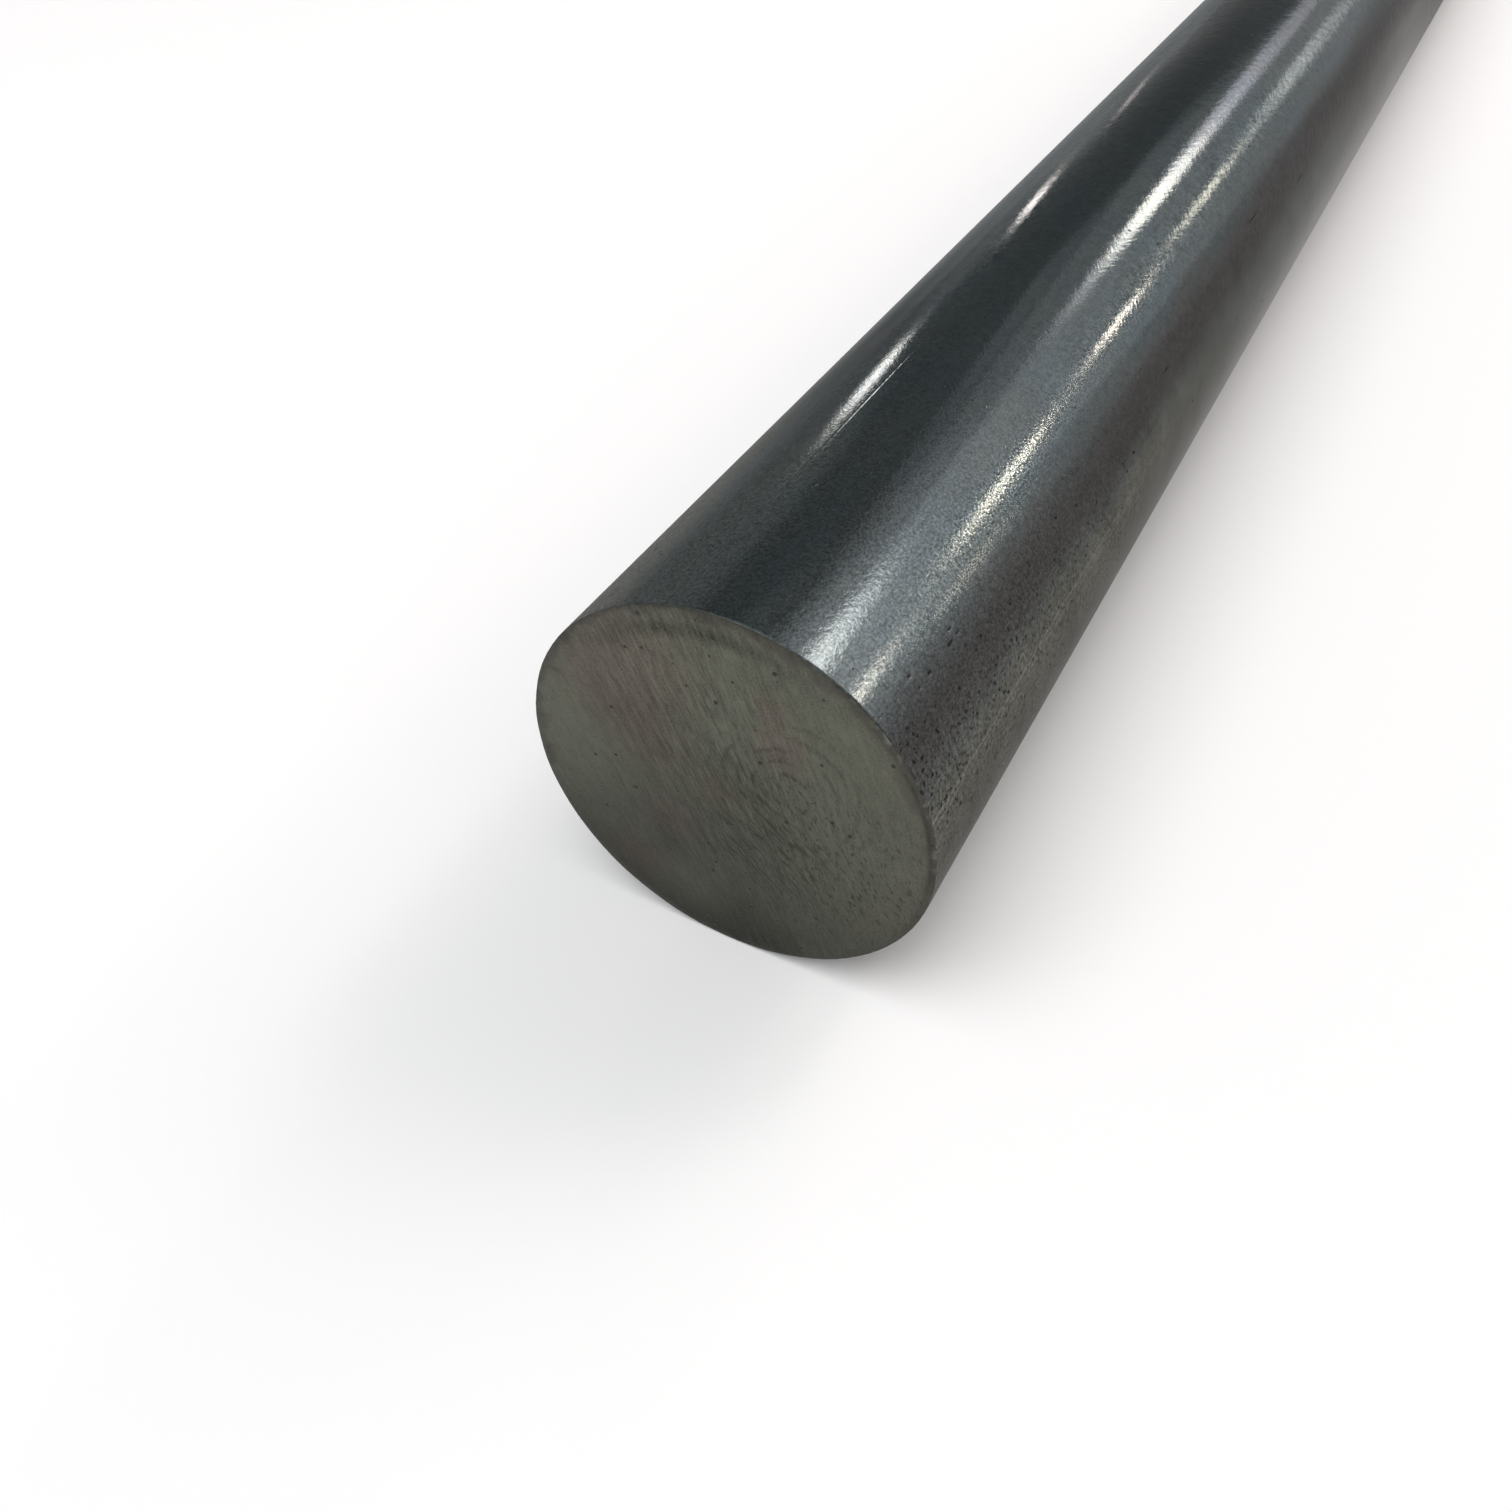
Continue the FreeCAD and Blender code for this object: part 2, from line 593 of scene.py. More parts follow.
class PeeledSide(Metal):
    """The bar's side. Its masks and noises serve its colour, its gloss and its relief alike.

    x is the distance along the bar, degrees the angle round it, and arc the way round in mm.
    """

    def __init__(self):
        super().__init__("peeled_steel")
        self.x, y, z = self.split(self.place)
        angle = self.math("ARCTAN2", self.math("MULTIPLY", y, -1.0), z)
        self.arc = self.math("MULTIPLY", angle, RADIUS)
        self.degrees = self.math("DEGREES", angle)
        self.sheet = self.join(self.x, self.arc)
        self.near = self.step(self.x, 15.0, 90.0, 1.0, 0.0)
        self.far = self.step(self.x, 45.0, 110.0)
        self.farthest = self.step(self.x, 110.0, 210.0)
        self.add_noises()
        self.add_strokes()
        self.add_hidden_sides()
        self.add_stain()
        self.add_dust()
        self.add_films()
        self.add_pits()

    def drawn(self, share):
        """Places for a noise whose features are drawn out along the bar."""
        return self.join(self.times(self.x, share), self.arc)

    def add_noises(self):
        noise = self.noise
        self.drift = noise(self.drawn(0.3), 7.0, 3.0)
        self.mottle = noise(self.sheet, 0.9, 3.0, 0.6, 5.0)
        self.clumps = noise(self.sheet, 0.55, 2.0, 0.6, 21.0)
        self.grain = noise(self.drawn(0.7), 0.27, 2.0, 0.6)
        self.leather = noise(self.sheet, 0.55, 3.0, 0.65, 12.0)
        self.sparkle = noise(self.sheet, 0.30, 1.0, 0.5, 51.0)
        self.lines = noise(self.drawn(0.02), 0.35, 3.0, 0.6, 2.0)
        self.worn = noise(self.drawn(0.30), 10.0, 4.0, 0.6, 30.0)
        self.clouds = noise(self.sheet, 8.0, 3.0, 0.6, 41.0)

    def crossed(self, lean, share, size, detail, roughness, shifts):
        """Strokes that lean to one side and to the other, and so cross each other."""
        total = 0.0
        for side, shift in zip((lean, -lean), shifts):
            down, across = self.turned(self.x, self.arc, side)
            place = self.join(self.times(down, share), across)
            total = self.add(total, self.noise(place, size, detail, roughness, shift))
        return total

    def add_strokes(self):
        """Strokes left by the rolls. They are broader away from the end, and then broad scales."""
        self.fine_strokes = self.crossed(0.5, 0.22, 0.42, 2.0, 0.5, (0.0, 7.0))
        self.wide_strokes = self.crossed(0.5, 0.30, 0.95, 2.0, 0.55, (3.0, 10.0))
        self.scales = self.crossed(0.95, 0.45, 2.1, 1.0, 0.5, (11.0, 17.0))

    def add_hidden_sides(self):
        """The sides that the photograph doesn't show: mostly bare, with stains and dust."""
        left_hidden = self.step(self.degrees, -92.0, -60.0, 1.0, 0.0)
        right_hidden = self.step(self.degrees, 112.0, 145.0)
        self.hidden = self.add(left_hidden, right_hidden)
        self.left_shown = self.math("SUBTRACT", 1.0, left_hidden)
        self.right_shown = self.math("SUBTRACT", 1.0, right_hidden)

    def add_stain(self):
        """A brownish stain in the pitted band, whose darkness there is partly a painted dark
        reflection, and drawn-out ones on the hidden sides.
        """
        times, step = self.times, self.step
        self.wavy = self.add(self.degrees, times(self.drift, 4.0))
        in_band = times(step(self.wavy, 37.0, 53.0), step(self.wavy, 58.0, 70.0, 1.0, 0.0))
        drawn_out = times(step(self.worn, 0.02, 0.40), self.hidden, 0.75)
        self.stain_and_dark_reflection = self.add(in_band, drawn_out)

    def add_dust(self):
        """Warm dust on both flanks, and a veil of it near the end, left of the top."""
        x, wavy = self.x, self.wavy
        add, times, step = self.add, self.times, self.step
        right = times(
            step(wavy, 58.0, 72.0), step(wavy, 80.0, 98.0, 1.0, 0.8),
            step(x, 40.0, 180.0, 1.0, 0.5), self.right_shown, 0.9
        )
        left_edge = add(wavy, times(x, 0.2), times(self.mottle, 5.0))
        left = times(
            step(left_edge, -34.0, -20.0, 1.0, 0.0), step(x, 40.0, 90.0, 1.0, 0.0),
            self.left_shown, 0.6
        )
        veil = times(
            step(self.degrees, -20.0, -6.0, 1.0, 0.0), step(x, 18.0, 58.0, 1.0, 0.0),
            self.left_shown, 0.22
        )
        smears = step(add(self.worn, times(self.near, -0.25)), 0.05, -0.40)
        self.dust = self.most(right, left, veil, times(smears, self.hidden, 0.55))

    def add_films(self):
        """A dull film over the left flank, and over the right one near the end. On the left its dark
        colour is partly a painted dark reflection.
        """
        times, step = self.times, self.step
        film_edge = self.add(self.wavy, times(self.x, -0.03))
        self.left_film_and_dark_reflection = times(step(film_edge, -40.0, -21.0, 1.0, 0.0), self.left_shown)
        self.right_film = times(
            step(self.wavy, 60.0, 76.0), step(self.x, 50.0, 130.0, 1.0, 0.35),
            self.right_shown
        )

    def add_pits(self):
        """Small pits in the band, thinning away from the end, a few stray ones, and the mesh's own."""
        x, degrees = self.x, self.degrees
        times, step = self.times, self.step
        frayed = self.vector("SCALE", self.join(self.grain, self.mottle), Scale=0.10)
        ragged = self.vector("ADD", self.sheet, frayed)
        drawn_out = self.vector("MULTIPLY", ragged, (0.65, 1.0, 1.0))
        band = times(step(degrees, 36.0, 50.0), step(degrees, 74.0, 92.0, 1.0, 0.2))
        self.flank = step(degrees, 52.0, 64.0)
        self.in_band = times(band, step(x, 15.0, 110.0, 1.0, 0.15))
        small = self.most(
            self.specks(drawn_out, 0.62, 0.17, 0.55),
            times(self.specks(ragged, 0.95, 0.34, 0.55, 4.0), self.flank)
        )
        self.small_pits = times(small, band, step(x, 10.0, 100.0, 1.0, 0.1))
        self.stray_pits = self.specks(ragged, 2.4, 0.13, 0.30, 9.0)
        deep = step(self.attribute("pit"), 0.25, 0.65)
        self.dark = self.most(
            times(deep, 0.85), times(self.small_pits, 0.75), times(self.stray_pits, 0.6)
        )

    def grain_and_glint_tone(self):
        """How the grain and the strokes brighten and darken the steel, in each zone of the side. Under
        the highlight streaks the grain is made stronger, as painted glints.
        """
        x, degrees = self.x, self.degrees
        add, times, step, bell = self.add, self.times, self.step, self.bell
        painted_glint_zones = add(bell(degrees, 30.0, 9.0), bell(degrees, -20.0, 12.0))
        return add(
            times(self.mottle, 0.30),
            times(self.grain, add(0.36, times(self.near, 0.46))),
            # Painted glints under the second streak, here and in the sparkle below.
            times(self.grain, bell(degrees, 33.0, 7.0), bell(x, 88.0, 34.0), 1.6),
            times(self.lines, 0.10),
            times(self.clumps, add(0.10, times(self.near, 0.38))),
            times(self.clumps, painted_glint_zones, step(x, 40.0, 80.0), 0.50),
            times(self.sparkle, bell(degrees, 34.0, 9.0), bell(x, 45.0, 45.0), 1.6),
            times(self.leather, self.in_band, add(0.50, times(self.flank, 0.50))),
            times(self.wide_strokes, self.far, 0.08),
            times(self.wide_strokes, painted_glint_zones, self.far, 0.34),
            times(self.scales, self.farthest, 0.06),
            times(self.attribute("score"), 0.6),
            times(self.clouds, step(degrees, 40.0, 70.0), 0.38)
        )

    def painted_reflection_tone(self):
        """Broad lighter and darker zones along the side: painted reflections and painted shade, which
        stand in for the light and dark that the side mirrors.
        """
        x, degrees = self.x, self.degrees
        times, step, bell = self.times, self.step, self.bell
        return self.add(
            times(bell(degrees, 4.0, 9.0), step(x, 50.0, 110.0, 1.0, 0.3), 0.20),
            times(bell(degrees, 14.0, 8.0), step(x, 60.0, 120.0, 1.0, 0.3), -0.12),
            times(bell(degrees, -34.0, 13.0), bell(x, 70.0, 50.0), -0.60),
            times(bell(degrees, -12.0, 24.0), self.farthest, -0.42),
            times(bell(degrees, 60.0, 34.0), self.farthest, -0.18),
            times(bell(degrees, -17.0, 14.0), step(x, 200.0, 240.0), -0.45),
            times(step(degrees, 48.0, 62.0), step(x, 190.0, 240.0), self.right_shown, -0.42)
        )

    def colour(self):
        mix = self.mix
        colour = mix(self.step(self.drift, -0.4, 0.4), STEEL, STEEL_WARM)
        # In the pitted band the stain is partly a painted dark reflection.
        colour = mix(self.stain_and_dark_reflection, colour, STAIN_AND_REFLECTION)
        # The film's dark colour on the left flank is partly a painted dark reflection.
        colour = mix(self.left_film_and_dark_reflection, colour, FILM_AND_REFLECTION)
        colour = mix(self.dust, colour, DUSTY)
        colour = self.brighten(colour, self.add(1.0, self.grain_and_glint_tone(), self.painted_reflection_tone()))
        colour = mix(self.dark, colour, PIT_DARK)
        # The broken edge is lighter: partly wear, and on the right a painted glint.
        worn_edge_and_glint = self.times(
            self.attribute("edge"), self.step(self.noise(self.sheet, 1.6, 2.0, 0.5, 3.0), -0.1, 0.5),
            self.add(0.15, self.bell(self.degrees, 85.0, 45.0), self.hidden)
        )
        return mix(self.times(worn_edge_and_glint, 0.6), colour, BRIGHT_EDGE)

    def roughness(self):
        """Rougher near the end, in the stain band and the dust, and beyond the photograph's reach."""
        times = self.times
        return self.add(
            0.10, times(self.near, 0.03), times(self.lines, 0.03), times(self.mottle, 0.03),
            times(self.stain_and_dark_reflection, 0.14), times(self.dust, 0.18), times(self.left_film_and_dark_reflection, 0.03),
            times(self.dark, 0.3), times(self.attribute("edge"), 0.3),
            times(self.step(self.x, 270.0, 370.0), 0.14)
        )

    def height(self):
        """Grain, the crossed strokes, pits and the fine groove."""
        x, degrees = self.x, self.degrees
        add, times, step, bell = self.add, self.times, self.step, self.bell
        # The strokes are fainter far along the left.
        calm = add(1.0, times(bell(degrees, -22.0, 14.0), self.farthest, -0.6))
        # Right at the near end, the strip under the second streak is smoother.
        strip = times(bell(degrees, 35.5, 4.0), step(x, 6.0, 16.0, 1.0, 0.0))
        rough = times(self.near, add(1.0, times(strip, -0.65)))
        fading = step(x, 0.5 * GROOVE_LENGTH, GROOVE_LENGTH, 1.0, 0.0)
        groove = times(bell(degrees, GROOVE_DEGREES, GROOVE_HALF_DEGREES), fading)
        return add(
            times(self.grain, add(0.0015, times(rough, 0.0022))),
            times(self.clumps, rough, 0.0068),
            times(self.leather, self.in_band, 0.014),
            times(self.fine_strokes, calm, 0.0030),
            times(self.wide_strokes, self.far, calm, 0.0075),
            times(self.scales, self.farthest, 0.009),
            times(self.sparkle, bell(x, 45.0, 40.0), 0.0035),
            times(self.lines, 0.0012),
            times(self.drift, 0.010),
            times(self.small_pits, -0.030),
            times(self.stray_pits, -0.020),
            times(groove, -GROOVE_DEPTH)
        )


def side_material():
    side = PeeledSide()
    bare = side.add(1.0, side.times(side.left_film_and_dark_reflection, -0.75), side.times(side.right_film, -0.5))
    side.fill(side.shader, Metallic=bare, Specular_IOR_Level=0.0, Specular_Tint=GRAZING_TINT)
    return side.finish(side.colour(), side.roughness(), side.height())


# The sawn faces

SAWN = (0.099, 0.101, 0.080, 1.0)
SAWN_WARM = (0.107, 0.093, 0.078, 1.0)
SCRATCH_DARK = (0.045, 0.044, 0.034, 1.0)
RIM_DARK = (0.060, 0.055, 0.051, 1.0)

# Patches on a sawn face: place across and along the saw's marks, and radius, all in bar radii,
# and how strong each patch is.
WARM_PATCHES = (
    (-0.16, 0.72, 0.38, 0.75),
    (-0.40, 0.62, 0.24, 0.60),
    (-0.26, 0.34, 0.26, 0.80),
    (-0.37, -0.12, 0.18, 0.95),
    (-0.04, 0.03, 0.13, 0.80),
    (-0.71, -0.37, 0.20, 0.85),
    (0.42, 0.26, 0.16, 0.85),
    (0.46, 0.45, 0.10, 0.80),
)
LIGHT_PATCHES = (
    (-0.78, 0.35, 0.45, 0.16),
    (0.62, 0.16, 0.35, 0.08),
    (0.50, -0.42, 0.45, 0.14),
    (0.02, -0.05, 0.40, -0.10),
    (-0.28, 0.40, 0.35, -0.10),
    (-0.47, -0.54, 0.24, 0.17),
    (-0.42, -0.26, 0.20, -0.10),
    (-0.28, -0.80, 0.28, -0.14),
    (0.12, -0.62, 0.34, 0.07),
)
# Painted shade: the face darkens in this direction (across and along the marks), towards its lower
# edge.
PAINTED_SHADE_ACROSS = -0.45
PAINTED_SHADE_ALONG = -0.89
# Where the grit is thickest, in radii.
GRIT_SPOT = (0.40, -0.46)
# Where the slanted scratches are, in radii, and how far they lean from the saw's marks.
SCRATCH_SPOT = (0.12, -0.28)
SCRATCH_LEAN = math.radians(26.0)
# Where the cut's last arcs curl on each face, in radii.
NEAR_SWIRL = (0.36, 0.03)
FAR_SWIRL = (-0.30, 0.15)
# How far the far face's noises are shifted, so that it differs from the near one.
FAR_SHIFT = 40.0


class SawnFace(Metal):
    """A sawn face. Its masks and noises serve its colour and its relief alike.

    across and along are places in mm on the face, by the saw's marks, and line is the place
    across with the marks' fan taken out. centre_distance and bearing give a place by its
    distance from the middle and its direction, from straight along the marks.
    """

    def __init__(self, name, shift, swirl_spot):
        super().__init__(name)
        self.shift = shift
        self.across = self.vector("DOT_PRODUCT", self.place, tuple(SAW_ACROSS))
        self.along = self.vector("DOT_PRODUCT", self.place, tuple(SAW_ALONG))
        fan = self.add(1.0, self.times(self.along, LINE_FAN / RADIUS))
        self.line = self.math("DIVIDE", self.across, fan)
        self.sheet = self.join(self.line, self.along, shift)
        self.centre_distance = self.vector("LENGTH", self.join(self.across, self.along))
        self.bearing = self.math("ARCTAN2", self.across, self.along)
        self.add_noises()
        self.add_swirl(swirl_spot)
        self.add_grit()
        self.add_strokes()
        self.add_scratches()
        self.add_rim()

    def drawn(self, share):
        """Places for a noise whose features are drawn out along the marks."""
        return self.join(self.line, self.times(self.along, share), self.shift)

    def from_spot(self, spot):
        """The way from a spot, given in radii, to each place on the face."""
        return self.join(
            self.math("SUBTRACT", self.across, spot[0] * RADIUS),
            self.math("SUBTRACT", self.along, spot[1] * RADIUS)
        )

    def add_noises(self):
        """Clouds, the saw's marks at two scales, grain, and where the marks show."""
        times, noise = self.times, self.noise
        self.blotch = noise(self.sheet, 9.0, 3.0, 0.5, self.shift)
        self.ragged = noise(self.drawn(0.6), 2.2, 4.0, 0.6, 3.0)
        self.mottle = noise(self.drawn(0.4), 0.9, 3.0, 0.6)
        self.grain = noise(self.sheet, 0.26, 3.0, 0.65)
        self.tiny_pits = self.specks(self.sheet, 1.6, 0.21, 0.40, self.shift)
        # The marks show most in a band right of the middle, and fade to the left and downwards.
        shown = self.add(
            0.30, self.bell(self.line, 0.10 * RADIUS, 0.80 * RADIUS), times(self.ragged, 0.5)
        )
        upwards = self.step(self.along, -0.85 * RADIUS, -0.25 * RADIUS, 0.55, 1.0)
        shown = times(self.most(shown, 0.1), upwards)
        self.marks = times(noise(self.drawn(0.08), 0.75, 3.0, 0.6), shown)
        self.fine_marks = times(noise(self.drawn(0.13), 0.28, 3.0, 0.6), shown)

    def add_swirl(self, spot):
        """Broken arcs round one spot, where the cut ended."""
        times, step = self.times, self.step
        way = self.from_spot(spot)
        reach = self.vector("LENGTH", way)
        self.swirl_reach = reach
        turns = self.add(times(reach, 3.4), times(self.ragged, 3.5), times(self.blotch, 3.0))
        self.arcs = times(
            step(self.math("SINE", turns), 0.1, 0.95), step(reach, 0.8, 2.2),
            step(reach, 6.5, 13.5, 1.0, 0.0),
            step(self.noise(way, 3.6, 2.0, 0.5, 6.0), -0.18, 0.25)
        )

    def add_grit(self):
        """Short dark flecks, most of them low on the right and in the swirl's middle."""
        add = self.add
        distance = self.vector("LENGTH", self.from_spot(GRIT_SPOT))
        reach = add(distance, self.times(self.ragged, 5.0))
        gritty = add(self.step(reach, 5.0, 17.0, 1.0, 0.0), self.bell(self.swirl_reach, 0.0, 5.0))
        flecks = self.noise(self.drawn(0.35), 0.42, 2.0, 0.6, 8.0)
        self.flecks = self.times(self.step(flecks, 0.06, 0.36), add(0.20, gritty))

    def add_strokes(self):
        """Sparse strokes along the marks, dark and light, most of them about the middle."""
        stroke = self.noise(self.drawn(0.07), 0.40, 2.0, 0.5, 13.0)
        middle = self.add(0.25, self.bell(self.centre_distance, 0.0, 0.95 * RADIUS))
        self.dark_strokes = self.times(self.step(stroke, 0.20, 0.42), middle)
        self.light_strokes = self.times(self.step(stroke, -0.20, -0.45), middle)

    def add_scratches(self):
        """Slanted scratches, dark and short, about one spot."""
        slanted, down = self.turned(self.across, self.along, SCRATCH_LEAN)
        place = self.join(slanted, self.times(down, 0.12), self.shift + 4.0)
        scratch = self.step(self.noise(place, 0.45, 1.0, 0.5), 0.06, 0.28)
        distance = self.vector("LENGTH", self.from_spot(SCRATCH_SPOT))
        self.scratches = self.times(scratch, self.step(distance, 3.0, 9.5, 1.0, 0.0))

    def ragged_distance(self, amount):
        """Distance from the middle, made uneven by an amount in mm."""
        return self.add(self.centre_distance, self.times(self.ragged, amount))

    def add_rim(self):
        """What lies along the rim: rings, dark stretches, painted shade along the lower rim, and nicks.
        """
        bearing = self.bearing
        times, step, bell = self.times, self.step, self.bell
        # A shallow ring under the upper rim, where the blade broke out. Its darker colour is painted
        # shade.
        self.rim_ring = times(
            bell(self.ragged_distance(0.35), 0.88 * RADIUS, 0.06 * RADIUS),
            bell(bearing, 0.30, 0.95)
        )
        # Painted shade along the lower rim.
        self.painted_low_rim_shade = times(
            step(self.ragged_distance(1.5), 0.70 * RADIUS, 1.02 * RADIUS),
            bell(bearing, -2.55, 1.35)
        )
        self.top_rim = times(
            step(self.centre_distance, 0.86 * RADIUS, 0.92 * RADIUS),
            bell(bearing, 0.15, 1.3)
        )
        self.side_ring = times(
            bell(self.ragged_distance(0.15), 0.972 * RADIUS, 0.020 * RADIUS),
            bell(bearing, 1.75, 0.9)
        )
        # Dark nicks across the rim, most of them at its upper left.
        place = self.join(times(bearing, 9.0), times(self.centre_distance, 0.35))
        self.nicks = times(
            step(self.noise(place, 1.0, 2.0), -0.02, 0.34),
            step(self.centre_distance, 0.86 * RADIUS, 0.97 * RADIUS),
            self.add(0.12, bell(bearing, -0.95, 0.9))
        )

    def patches(self, places):
        """Soft round patches with ragged edges, added together."""
        total = 0.0
        for across, along, radius, strength in places:
            reach = radius * RADIUS
            distance = self.vector("LENGTH", self.from_spot((across, along)))
            distance = self.add(distance, self.times(self.ragged, 0.35 * reach))
            total = self.add(total, self.step(distance, 0.2 * reach, 1.2 * reach, strength, 0.0))
        return total

    def tone(self):
        """How bright the face is: its marks, clouds and rings, and the painted shade on its lower edge.
        """
        times = self.times
        tone = self.add(
            1.0, self.patches(LIGHT_PATCHES), times(self.marks, 0.40), times(self.fine_marks, 0.48),
            times(self.mottle, 0.26), times(self.grain, 0.50), times(self.arcs, -0.26),
            times(self.light_strokes, 0.16), times(self.blotch, 0.15), times(self.ragged, 0.17),
            times(self.rim_ring, -0.34), times(self.painted_low_rim_shade, -0.40), times(self.top_rim, -0.14)
        )
        # Painted shade, darker towards the lower edge.
        downwards = self.add(
            times(self.across, PAINTED_SHADE_ACROSS), times(self.along, PAINTED_SHADE_ALONG), times(self.blotch, 2.0)
        )
        return times(tone, self.step(downwards, -0.8 * RADIUS, 1.15 * RADIUS, 1.22, 0.60))

    def rim_band(self):
        """A dark ragged band along the rim, wider on the right and at the upper left."""
        times = self.times
        width = self.add(
            0.9, times(self.bell(self.bearing, 1.3, 1.7), 1.3),
            times(self.bell(self.bearing, -0.9, 0.8), 0.6)
        )
        from_rim = self.math("SUBTRACT", RADIUS, self.ragged_distance(2.2))
        band = self.step(self.math("DIVIDE", from_rim, width), 0.35, 1.0, 1.0, 0.0)
        share = self.add(0.50, times(self.mottle, 0.6), times(self.blotch, 0.3))
        return times(band, share)

    def colour(self):
        times, mix, brighten = self.times, self.mix, self.brighten
        warm = self.math("MINIMUM", self.patches(WARM_PATCHES), 1.0)
        colour = brighten(mix(warm, SAWN, SAWN_WARM), self.tone())
        dark = self.most(
            times(self.scratches, 0.8), times(self.flecks, 0.72),
            times(self.dark_strokes, 0.42), times(self.nicks, 0.75), self.tiny_pits
        )
        colour = mix(dark, colour, SCRATCH_DARK)
        colour = mix(self.rim_band(), colour, RIM_DARK)
        colour = brighten(colour, self.add(1.0, times(self.side_ring, -0.35)))
        edge = self.attribute("edge")
        colour = brighten(colour, self.add(1.0, times(edge, -0.25)))
        # A painted glint on the right of the broken edge, where a burr catches the light, in short
        # pieces.
        pieces = self.step(self.noise(self.sheet, 1.6, 2.0), 0.0, 0.35)
        painted_burr_glint = times(edge, pieces, self.bell(self.bearing, 1.45, 0.9))
        return mix(painted_burr_glint, colour, BRIGHT_EDGE)

    def height(self):
        """The marks, grain, swirl and scratches, the pits and flecks, and the ring at the rim."""
        times = self.times
        return self.add(
            times(self.marks, 0.018), times(self.fine_marks, 0.009), times(self.grain, 0.012),
            times(self.arcs, -0.016), times(self.scratches, -0.03), times(self.tiny_pits, -0.04),
            times(self.flecks, -0.012), times(self.rim_ring, -0.15)
        )


def sawn_material(name, shift, swirl_spot):
    face = SawnFace(name, shift, swirl_spot)
    face.fill(face.shader, Anisotropic=0.3, Tangent=face.join(*SAW_ACROSS))
    roughness = face.add(0.46, face.times(face.mottle, 0.08))
    return face.finish(face.colour(), roughness, face.height())


# Lamps
#
# Each strip lamp stands where the photograph's highlight asks for it: at the far end of the
# camera's sight line after the bar's side has mirrored it. A highlight's ends are given as a
# distance along the bar in radii and an angle round it in degrees.

LAMP_DISTANCE = 1500.0
COOL = (1.0, 0.95, 0.96)
LAVENDER = (1.0, 0.85, 0.94)
NEUTRAL = (1.0, 0.92, 0.88)
PEARL = (1.0, 0.86, 0.82)
IVORY = (1.0, 0.82, 0.71)
WARM = (1.0, 0.81, 0.66)
PEACH = (1.0, 0.77, 0.65)

# Name, shape, start, end, width, radiance and colour.
LAMPS = (
    ("main_streak", "ELLIPSE", (4.05, 18.0), (5.8, 17.6), 116.0, 14.5, IVORY),
    ("main_head", "ELLIPSE", (3.1, 18.3), (4.1, 18.0), 110.0, 1.3, LAVENDER),
    ("main_tail", "ELLIPSE", (4.8, 17.0), (7.7, 16.3), 140.0, 1.9, LAVENDER),
    ("main_last", "ELLIPSE", (5.5, 16.8), (11.2, 15.7), 130.0, 1.15, LAVENDER),
    ("second_near", "ELLIPSE", (-0.6, 35.5), (0.3, 35.0), 26.0, 26.0, WARM),
    ("second_middle", "ELLIPSE", (1.25, 33.7), (2.05, 33.3), 13.0, 95.0, WARM),
    ("second_far", "ELLIPSE", (3.2, 33.0), (3.75, 32.6), 44.0, 31.0, PEACH),
    ("second_end", "ELLIPSE", (4.9, 31.2), (5.85, 30.8), 62.0, 12.0, WARM),
    ("second_last", "ELLIPSE", (6.5, 30.6), (10.5, 30.2), 130.0, 1.45, NEUTRAL),
    ("second_crest", "ELLIPSE", (7.4, 30.2), (8.3, 30.0), 90.0, 3.2, NEUTRAL),
    ("third_streak", "ELLIPSE", (0.9, 39.7), (1.15, 39.6), 13.0, 62.0, WARM),
    ("near_glow", "ELLIPSE", (-1.3, 24.2), (0.5, 23.6), 260.0, 5.0, NEUTRAL),
    ("near_panel", "ELLIPSE", (-1.8, 26.0), (0.9, 26.0), 1750.0, 0.32, COOL),
    ("near_skirt", "ELLIPSE", (-1.8, 25.0), (2.0, 25.0), 2500.0, 0.14, COOL),
    ("left_near_panel", "RECTANGLE", (-1.0, -20.5), (2.4, -20.5), 1210.0, 0.15, NEUTRAL),
    ("left_near", "ELLIPSE", (1.72, -15.4), (2.35, -18.3), 80.0, 19.0, PEARL),
    ("left_far", "ELLIPSE", (4.45, -18.5), (4.60, -22.5), 32.0, 19.0, PEARL),
    ("left_end", "ELLIPSE", (6.75, -21.5), (6.78, -24.0), 26.0, 5.0, PEARL),
    ("left_panel", "RECTANGLE", (3.0, -21.0), (9.5, -30.0), 200.0, 0.18, COOL),
    ("wide_panel", "RECTANGLE", (-1.2, 32.0), (12.0, 28.3), 1540.0, 0.27, COOL),
    ("middle_panel", "RECTANGLE", (-1.1, 29.5), (12.0, 28.0), 1100.0, 0.32, COOL),
    ("inner_panel", "RECTANGLE", (-1.0, 29.0), (12.0, 29.0), 650.0, 0.42, COOL),
)

# A soft square lamp lights the near face and the floor.
KEY_PLACE = Vector((-900.0, 300.0, 1500.0))
KEY_AIM = Vector((-150.0, 0.0, 0.0))
KEY_SIZE = 1400.0
KEY_RADIANCE = 2.7
WHITE = (1.0, 1.0, 1.0)


def mirrored_sight(along_radii, degrees):
    """A point on the bar's side, and where the sight line that meets it goes from there."""
    angle = math.radians(degrees)
    spot = on_side(along_radii * RADIUS, angle)
    normal = around(angle)
    sight = (spot - eye_point()).normalized()
    return spot, spot + (sight - 2.0 * sight.dot(normal) * normal) * LAMP_DISTANCE


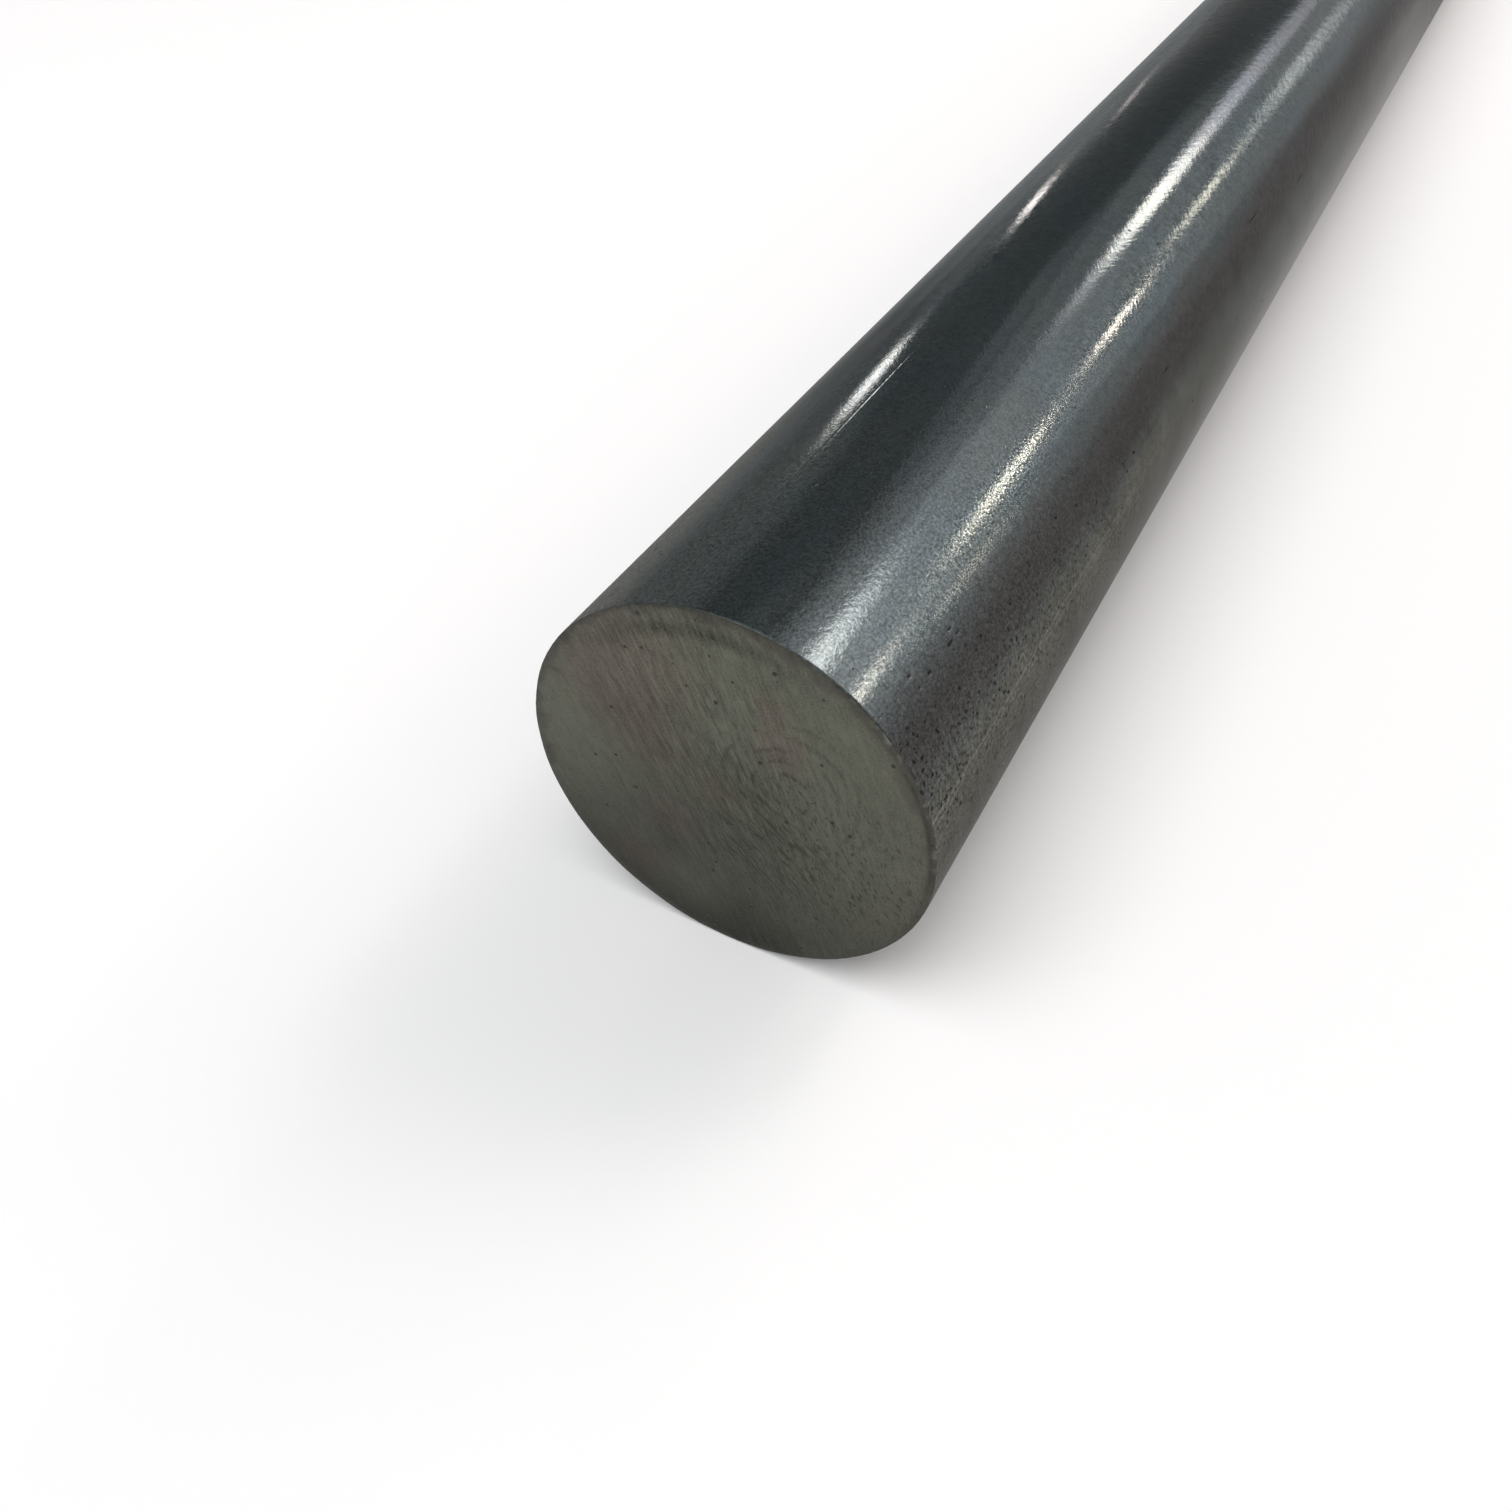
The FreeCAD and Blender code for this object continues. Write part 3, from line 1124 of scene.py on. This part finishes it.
def add_lamp(name, shape, centre, x_axis, towards, size, radiance, colour):
    """A flat lamp. A lamp's energy is four times its area times its radiance."""
    data = bpy.data.lights.new(name, "AREA")
    data.shape = shape
    data.size, data.size_y = size[0] * MM, size[1] * MM
    area = data.size * data.size_y
    if shape == "ELLIPSE":
        area *= math.pi / 4.0
    data.energy = 4.0 * radiance * area
    data.color = colour
    lamp = bpy.data.objects.new(name, data)
    bpy.context.scene.collection.objects.link(lamp)
    z_axis = (centre - towards).normalized()
    y_axis = z_axis.cross(x_axis).normalized()
    z_axis = x_axis.cross(y_axis)
    placed = Matrix((x_axis, y_axis, z_axis)).transposed().to_4x4()
    placed.translation = centre * MM
    lamp.matrix_world = placed
    lamp.visible_camera = False


def add_strip(name, shape, start, end, width, radiance, colour):
    spot_a, point_a = mirrored_sight(*start)
    spot_b, point_b = mirrored_sight(*end)
    run = point_b - point_a
    centre = (point_a + point_b) / 2.0
    middle = (spot_a + spot_b) / 2.0
    add_lamp(name, shape, centre, run.normalized(), middle, (run.length, width), radiance, colour)


def make_lamps():
    for lamp in LAMPS:
        add_strip(*lamp)
    add_lamp("key", "RECTANGLE", KEY_PLACE, Vector((0.0, 1.0, 0.0)), KEY_AIM,
             (KEY_SIZE, KEY_SIZE), KEY_RADIANCE, WHITE)


# Studio and floor

# The studio is brighter near the horizon than overhead. The change lies between two heights
# of the sight line, where 0 is level and 1 is straight up.
STUDIO_COLOUR = (0.97, 0.99, 1.0, 1.0)
HORIZON_LIGHT = 0.60
OVERHEAD_LIGHT = 0.25
HORIZON_FADE = (0.05, 0.75)

# The floor takes on the studio's own tone between these two distances, in metres.
FLOOR_FADE = (0.9, 2.2)
FLOOR_COLOUR = (0.92, 0.92, 0.92, 1.0)
FLOOR_ROUGHNESS = 0.9
# Half the floor's width, in metres.
FLOOR_HALF = 4.0


def make_world():
    world = bpy.data.worlds.new("studio")
    bpy.context.scene.world = world
    world.use_nodes = True
    work = Nodes(world.node_tree)
    _, _, up = work.split(work.coordinate("Generated"))
    light = work.step(up, *HORIZON_FADE, HORIZON_LIGHT, OVERHEAD_LIGHT)
    work.fill(work.tree.nodes["Background"], Color=STUDIO_COLOUR, Strength=light)


def fade_floor(work, shader):
    """Far from the bar, where no lamp reaches, the floor shows the studio's tone at the horizon."""
    distance = work.vector("LENGTH", work.coordinate("Object"))
    path = work.new("ShaderNodeLightPath").outputs
    seen = work.most(path["Is Camera Ray"], path["Is Glossy Ray"], path["Is Transmission Ray"])
    tone = work.fill(work.new("ShaderNodeEmission"), Color=STUDIO_COLOUR, Strength=HORIZON_LIGHT)
    share = work.times(seen, work.step(distance, *FLOOR_FADE))
    both = work.new("ShaderNodeMixShader")
    work.fill(both, share, shader.outputs["BSDF"], tone.outputs["Emission"])
    work.fill(work.tree.nodes["Material Output"], Surface=both.outputs["Shader"])


def floor_material():
    material = bpy.data.materials.new("pale_floor")
    material.use_nodes = True
    work = Nodes(material.node_tree)
    shader = work.tree.nodes["Principled BSDF"]
    work.fill(shader, Base_Color=FLOOR_COLOUR, Roughness=FLOOR_ROUGHNESS, Specular_IOR_Level=0.0)
    fade_floor(work, shader)
    return material


def make_floor():
    mesh = bpy.data.meshes.new("floor")
    signs = ((-1, -1), (1, -1), (1, 1), (-1, 1))
    corners = [(FLOOR_HALF * x, FLOOR_HALF * y, 0.0) for x, y in signs]
    mesh.from_pydata(corners, [], [(0, 1, 2, 3)])
    floor = bpy.data.objects.new("floor", mesh)
    bpy.context.scene.collection.objects.link(floor)
    mesh.materials.append(floor_material())


make_camera()
bar = make_bar((side_material(), sawn_material("sawn_near", 0.0, NEAR_SWIRL),
                sawn_material("sawn_far", FAR_SHIFT, FAR_SWIRL)))
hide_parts(NODE)
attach(bar, "root")
make_lamps()
make_world()
make_floor()
bpy.context.scene.view_settings.view_transform = "Standard"
